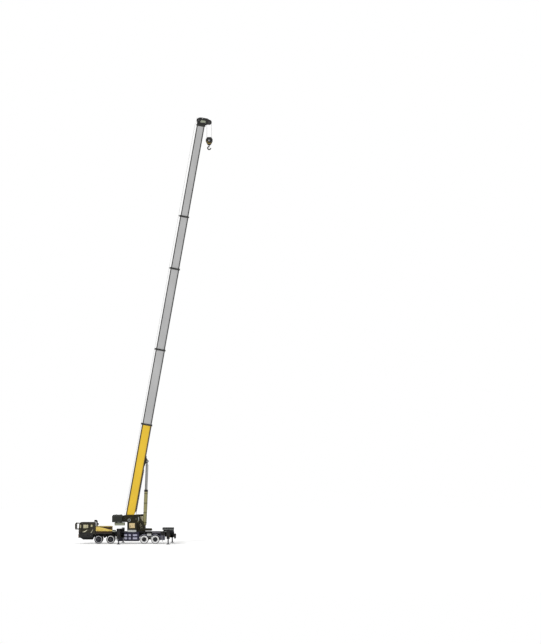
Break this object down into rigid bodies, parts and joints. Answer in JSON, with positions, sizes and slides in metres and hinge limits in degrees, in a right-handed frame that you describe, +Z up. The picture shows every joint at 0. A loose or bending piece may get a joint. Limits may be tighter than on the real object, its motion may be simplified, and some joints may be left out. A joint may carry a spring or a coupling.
{
  "type": "truck crane with telescopic boom, 1:2 scale model",
  "caption": "Truck crane with outriggers out and a telescopic boom raised over the rear, made as a half-size model with working joints.",
  "frame": {"origin": "on the ground under the middle of the crane's overall box", "axes": "+Z up, -X towards the carrier's front, +Y to its right"},
  "size_m": [8.5828, 3.1398, 26.6266],
  "materials": {
    "yellow": "gloss paint",
    "boom_grey": "satin paint",
    "head_black": "satin paint",
    "cab_olive": "gloss paint",
    "turntable": "satin paint",
    "weight": "satin paint",
    "tube_olive": "satin paint",
    "frame_black": "satin paint",
    "deck_grey": "matt paint",
    "box_dark": "satin paint",
    "steel": "ground steel",
    "rim_white": "gloss paint",
    "tyre": "rubber",
    "glass": "tinted glass",
    "trim": "matt",
    "rope": "steel rope",
    "iron": "cast"
  },
  "bodies": {
    "carrier": {"chassis_frame": "frame_black", "axle_beams": "frame_black", "cab_shell": "cab_olive", "cab_glass": "glass", "cab_interior": "trim", "front_bumper": "frame_black", "engine_hood": "yellow", "engine_block": "iron", "carrier_deck": "deck_grey", "side_boxes": "box_dark", "outrigger_boxes": "frame_black", "slew_ring": "frame_black", "intake_stack": "frame_black"},
    "knuckle_1_left": {"knuckle_1_left": "frame_black"},
    "wheel_1_left": {"rim_1_left": "rim_white", "tyre_1_left": "tyre"},
    "knuckle_1_right": {"knuckle_1_right": "frame_black"},
    "wheel_1_right": {"rim_1_right": "rim_white", "tyre_1_right": "tyre"},
    "knuckle_2_left": {"knuckle_2_left": "frame_black"},
    "wheel_2_left": {"rim_2_left": "rim_white", "tyre_2_left": "tyre"},
    "knuckle_2_right": {"knuckle_2_right": "frame_black"},
    "wheel_2_right": {"rim_2_right": "rim_white", "tyre_2_right": "tyre"},
    "wheel_3_left": {"rim_3_left": "rim_white", "tyre_3_left": "tyre"},
    "wheel_3_right": {"rim_3_right": "rim_white", "tyre_3_right": "tyre"},
    "wheel_4_left": {"rim_4_left": "rim_white", "tyre_4_left": "tyre"},
    "wheel_4_right": {"rim_4_right": "rim_white", "tyre_4_right": "tyre"},
    "turntable": {"turntable_frame": "turntable", "counterweight": "weight", "winch_drum": "iron", "operator_cab_shell": "cab_olive", "operator_cab_glass": "glass", "operator_cab_interior": "trim"},
    "cab_door_left": {"cab_door_left": "cab_olive"},
    "cab_door_right": {"cab_door_right": "cab_olive"},
    "operator_door": {"operator_cab_door": "cab_olive"},
    "boom_base": {"boom_base": "yellow"},
    "luff_tube": {"luff_tube": "tube_olive"},
    "luff_rod": {"luff_rod": "steel"},
    "boom_section_2": {"boom_section_2": "boom_grey"},
    "boom_section_3": {"boom_section_3": "boom_grey"},
    "boom_section_4": {"boom_section_4": "boom_grey"},
    "boom_section_5": {"boom_section_5": "boom_grey", "boom_head": "head_black"},
    "hoist_falls": {"hoist_falls": "rope"},
    "hook": {"hook_block": "head_black"},
    "outrigger_beam_front_left": {"outrigger_beam_front_left": "frame_black"},
    "outrigger_jack_front_left": {"outrigger_jack_front_left": "steel"},
    "outrigger_beam_front_right": {"outrigger_beam_front_right": "frame_black"},
    "outrigger_jack_front_right": {"outrigger_jack_front_right": "steel"},
    "outrigger_beam_rear_left": {"outrigger_beam_rear_left": "frame_black"},
    "outrigger_jack_rear_left": {"outrigger_jack_rear_left": "steel"},
    "outrigger_beam_rear_right": {"outrigger_beam_rear_right": "frame_black"},
    "outrigger_jack_rear_right": {"outrigger_jack_rear_right": "steel"}
  },
  "joints": [
    {"name": "steer_1_left", "type": "hinge", "parent": "carrier", "child": "knuckle_1_left", "pos_m": [-2.8039, -0.408, 0.272], "axis": [0, 0, 1], "range_deg": [-30, 30]},
    {"name": "roll_1_left", "type": "hinge", "parent": "knuckle_1_left", "child": "wheel_1_left", "pos_m": [-2.8039, -0.522, 0.272], "axis": [0, 1, 0], "continuous": true},
    {"name": "steer_1_right", "type": "hinge", "parent": "carrier", "child": "knuckle_1_right", "pos_m": [-2.8039, 0.408, 0.272], "axis": [0, 0, 1], "range_deg": [-30, 30]},
    {"name": "roll_1_right", "type": "hinge", "parent": "knuckle_1_right", "child": "wheel_1_right", "pos_m": [-2.8039, 0.522, 0.272], "axis": [0, 1, 0], "continuous": true},
    {"name": "steer_2_left", "type": "hinge", "parent": "carrier", "child": "knuckle_2_left", "pos_m": [-2.0539, -0.408, 0.272], "axis": [0, 0, 1], "range_deg": [-18, 18]},
    {"name": "roll_2_left", "type": "hinge", "parent": "knuckle_2_left", "child": "wheel_2_left", "pos_m": [-2.0539, -0.522, 0.272], "axis": [0, 1, 0], "continuous": true},
    {"name": "steer_2_right", "type": "hinge", "parent": "carrier", "child": "knuckle_2_right", "pos_m": [-2.0539, 0.408, 0.272], "axis": [0, 0, 1], "range_deg": [-18, 18]},
    {"name": "roll_2_right", "type": "hinge", "parent": "knuckle_2_right", "child": "wheel_2_right", "pos_m": [-2.0539, 0.522, 0.272], "axis": [0, 1, 0], "continuous": true},
    {"name": "roll_3_left", "type": "hinge", "parent": "carrier", "child": "wheel_3_left", "pos_m": [0.0401, -0.447, 0.272], "axis": [0, 1, 0], "continuous": true},
    {"name": "roll_3_right", "type": "hinge", "parent": "carrier", "child": "wheel_3_right", "pos_m": [0.0401, 0.447, 0.272], "axis": [0, 1, 0], "continuous": true},
    {"name": "roll_4_left", "type": "hinge", "parent": "carrier", "child": "wheel_4_left", "pos_m": [0.7331, -0.447, 0.272], "axis": [0, 1, 0], "continuous": true},
    {"name": "roll_4_right", "type": "hinge", "parent": "carrier", "child": "wheel_4_right", "pos_m": [0.7331, 0.447, 0.272], "axis": [0, 1, 0], "continuous": true},
    {"name": "slew", "type": "hinge", "parent": "carrier", "child": "turntable", "pos_m": [-0.3289, 0, 0.8], "axis": [0, 0, 1], "continuous": true},
    {"name": "door_left", "type": "hinge", "parent": "carrier", "child": "cab_door_left", "pos_m": [-3.8614, -0.598, 0.9], "axis": [0, 0, -1], "range_deg": [0, 70]},
    {"name": "door_right", "type": "hinge", "parent": "carrier", "child": "cab_door_right", "pos_m": [-3.8614, 0.598, 0.9], "axis": [0, 0, 1], "range_deg": [0, 70]},
    {"name": "door_operator", "type": "hinge", "parent": "turntable", "child": "operator_door", "pos_m": [-0.4224, 0.648, 1.35], "axis": [0, 0, 1], "range_deg": [0, 75]},
    {"name": "luff", "type": "hinge", "parent": "turntable", "child": "boom_base", "pos_m": [-0.7979, 0, 1.588], "axis": [0, -1, 0], "range_deg": [-79.8, 2.2]},
    {"name": "cylinder_tilt", "type": "hinge", "parent": "turntable", "child": "luff_tube", "pos_m": [0.0521, 0, 1.006], "axis": [0, -1, 0], "range_deg": [-85, 4]},
    {"name": "rod_slide", "type": "slide", "parent": "luff_tube", "child": "luff_rod", "axis": [0.0403, 0, 0.9992], "range_m": [-1.309, 0.045]},
    {"name": "telescope_2", "type": "slide", "parent": "boom_base", "child": "boom_section_2", "axis": [0.1771, 0, 0.9842], "range_m": [-4.634, 0]},
    {"name": "telescope_3", "type": "slide", "parent": "boom_section_2", "child": "boom_section_3", "axis": [0.1771, 0, 0.9842], "range_m": [-5.028, 0]},
    {"name": "telescope_4", "type": "slide", "parent": "boom_section_3", "child": "boom_section_4", "axis": [0.1771, 0, 0.9842], "range_m": [-3.198, 0]},
    {"name": "telescope_5", "type": "slide", "parent": "boom_section_4", "child": "boom_section_5", "axis": [0.1771, 0, 0.9842], "range_m": [-5.654, 0]},
    {"name": "hook_swing", "type": "hinge", "parent": "boom_section_5", "child": "hoist_falls", "pos_m": [4.0889, 0, 26.31949], "axis": [0, -1, 0], "range_deg": [-3, 80]},
    {"name": "hook_hoist", "type": "slide", "parent": "hoist_falls", "child": "hook", "axis": [0, 0, -1], "range_m": [-0.75, 0], "deforming": ["hoist_falls"]},
    {"name": "beam_front_left", "type": "slide", "parent": "carrier", "child": "outrigger_beam_front_left", "axis": [0, -1, 0], "range_m": [-0.9, 0]},
    {"name": "jack_front_left", "type": "slide", "parent": "outrigger_beam_front_left", "child": "outrigger_jack_front_left", "axis": [0, 0, -1], "range_m": [-0.28, 0]},
    {"name": "beam_front_right", "type": "slide", "parent": "carrier", "child": "outrigger_beam_front_right", "axis": [0, 1, 0], "range_m": [-0.9, 0]},
    {"name": "jack_front_right", "type": "slide", "parent": "outrigger_beam_front_right", "child": "outrigger_jack_front_right", "axis": [0, 0, -1], "range_m": [-0.28, 0]},
    {"name": "beam_rear_left", "type": "slide", "parent": "carrier", "child": "outrigger_beam_rear_left", "axis": [0, -1, 0], "range_m": [-0.9, 0]},
    {"name": "jack_rear_left", "type": "slide", "parent": "outrigger_beam_rear_left", "child": "outrigger_jack_rear_left", "axis": [0, 0, -1], "range_m": [-0.28, 0]},
    {"name": "beam_rear_right", "type": "slide", "parent": "carrier", "child": "outrigger_beam_rear_right", "axis": [0, 1, 0], "range_m": [-0.9, 0]},
    {"name": "jack_rear_right", "type": "slide", "parent": "outrigger_beam_rear_right", "child": "outrigger_jack_rear_right", "axis": [0, 0, -1], "range_m": [-0.28, 0]}
  ],
  "couplings": [
    {"joint": "steer_1_right", "follows": "steer_1_left", "ratio": 1},
    {"joint": "steer_2_left", "follows": "steer_1_left", "ratio": 0.6},
    {"joint": "steer_2_right", "follows": "steer_1_left", "ratio": 0.6},
    {"joint": "cylinder_tilt", "follows": "luff", "ratio": 1.0456},
    {"joint": "rod_slide", "follows": "luff", "m_per_rad": 0.93599},
    {"joint": "hook_swing", "follows": "luff", "ratio": -1}
  ]
}
